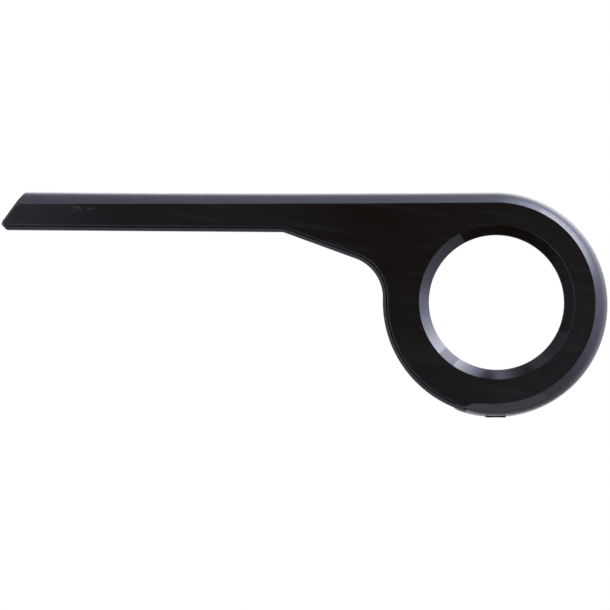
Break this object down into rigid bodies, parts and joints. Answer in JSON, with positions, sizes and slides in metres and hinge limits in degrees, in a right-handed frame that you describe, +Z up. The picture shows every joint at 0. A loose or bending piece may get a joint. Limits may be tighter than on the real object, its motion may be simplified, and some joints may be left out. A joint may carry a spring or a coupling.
{
  "type": "bicycle chain guard",
  "caption": "Long moulded guard that covers the upper run of a bicycle chain and rings the chainring, with a round opening for the crank.",
  "frame": {"origin": "on the ring's axis, in the middle of the short land that bounds the opening", "axes": "+X forward along the bicycle, with the arm reaching to -X; +Y inward to the frame, along the ring's axis; +Z up"},
  "size_m": [0.484, 0.026, 0.1809],
  "materials": {
    "gloss_black": "gloss black moulded plastic"
  },
  "bodies": {
    "root": {"chain_guard": "gloss_black"}
  },
  "joints": []
}
